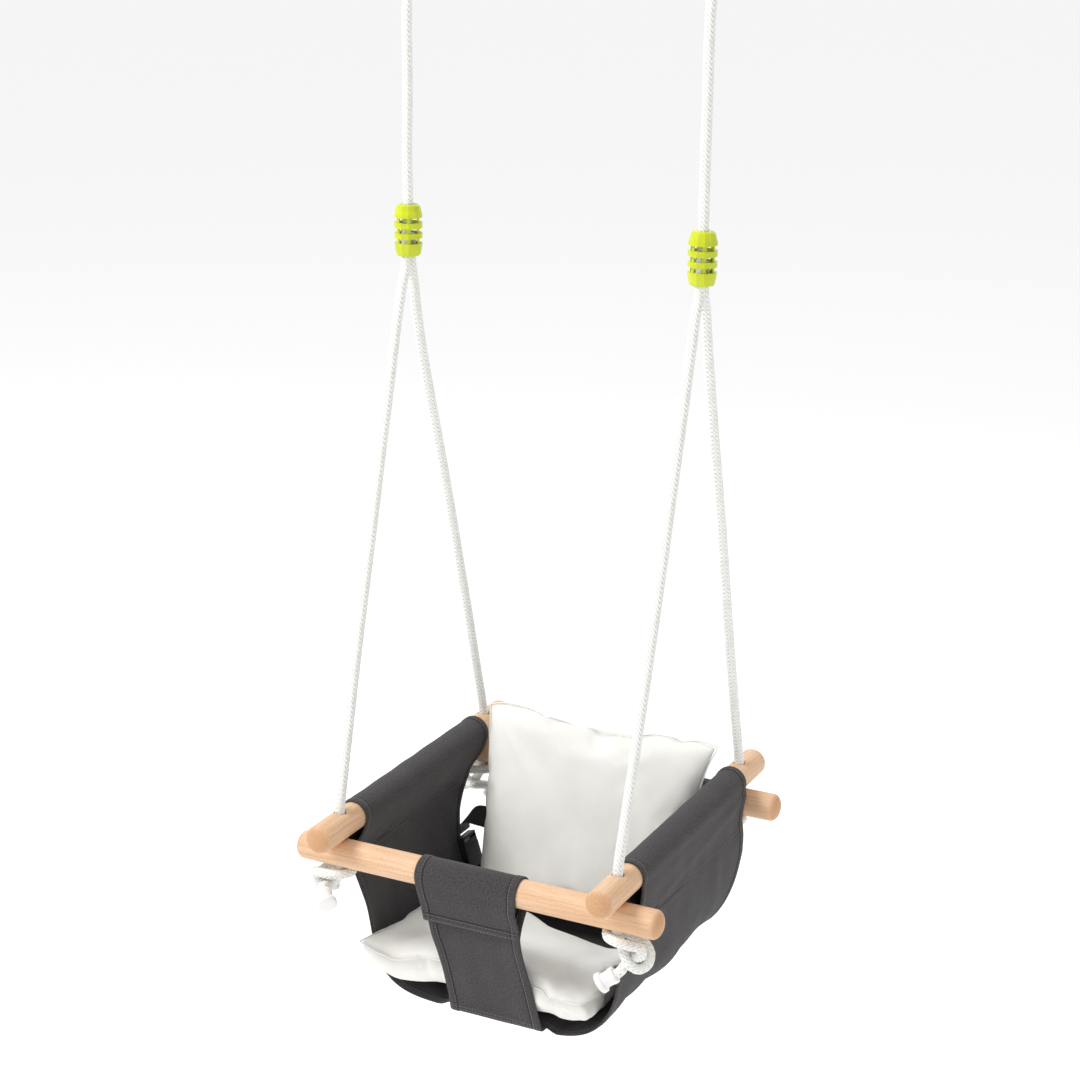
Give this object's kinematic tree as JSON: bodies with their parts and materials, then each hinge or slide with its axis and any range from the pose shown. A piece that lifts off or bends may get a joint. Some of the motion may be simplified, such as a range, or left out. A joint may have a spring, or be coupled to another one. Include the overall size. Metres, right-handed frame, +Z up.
{
  "type": "toddler bucket swing",
  "caption": "Hanging toddler swing seat: canvas sling with front strip and back panel on a square of wooden rods, cushions, rope pairs with slotted adjusters and hanging rings.",
  "frame": {"origin": "midway between the two hanging rings, on the axis of their lower bars, which the swing turns about", "axes": "+Z up, front of the seat at -Y, +X to the right as seen from the front"},
  "size_m": [0.415, 0.415, 1.187],
  "materials": {
    "beech": "sanded beech, unvarnished",
    "rope": "white braided polyester rope",
    "canvas": "charcoal cotton canvas",
    "cushion_cover": "off-white cotton canvas",
    "green_plastic": "lime green moulded plastic",
    "white_plastic": "white moulded plastic",
    "webbing": "black polypropylene webbing",
    "black_plastic": "black moulded plastic",
    "steel": "zinc plated steel"
  },
  "bodies": {
    "hanging_rings": {"hanging_ring_left": "steel", "hanging_ring_right": "steel"},
    "seat": {"thimble_left": "white_plastic", "thimble_right": "white_plastic", "ferrule_left": "steel", "ferrule_right": "steel", "rope_left_eye": "rope", "rope_right_eye": "rope", "rope_left_long": "rope", "rope_right_long": "rope", "rope_left_short": "rope", "rope_right_short": "rope", "side_rod_left": "beech", "side_rod_right": "beech", "front_rod": "beech", "rear_rod": "beech", "knot_front_left": "rope", "knot_front_right": "rope", "knot_rear_left": "rope", "knot_rear_right": "rope", "end_cap_front_left": "white_plastic", "end_cap_front_right": "white_plastic", "end_cap_rear_left": "white_plastic", "end_cap_rear_right": "white_plastic", "seat_sling": "canvas", "front_strip": "canvas", "back_panel": "canvas", "seat_cushion": "cushion_cover", "belt_long": "webbing", "belt_short": "webbing", "buckle_socket": "black_plastic"},
    "left_adjuster": {"adjuster_left": "green_plastic"},
    "right_adjuster": {"adjuster_right": "green_plastic"},
    "back_pillow": {"back_cushion": "cushion_cover"},
    "plug": {"buckle_plug": "black_plastic"}
  },
  "joints": [
    {"name": "swing_hinge", "type": "hinge", "parent": "hanging_rings", "child": "seat", "pos_m": [0, 0, 0], "axis": [1, 0, 0], "range_deg": [-45, 45]},
    {"name": "left_adjuster_slide", "type": "slide", "parent": "seat", "child": "left_adjuster", "axis": [0, 0, 1], "range_m": [0, 0.02]},
    {"name": "right_adjuster_slide", "type": "slide", "parent": "seat", "child": "right_adjuster", "axis": [0, 0, 1], "range_m": [0, 0.02]},
    {"name": "back_cushion_lift", "type": "slide", "parent": "seat", "child": "back_pillow", "axis": [0, 0.2924, 0.9563], "range_m": [0, 0.15]},
    {"name": "buckle_release", "type": "slide", "parent": "seat", "child": "plug", "axis": [-0.3024, 0, 0.9532], "range_m": [0, 0.022], "deforming": ["belt_long"]}
  ]
}
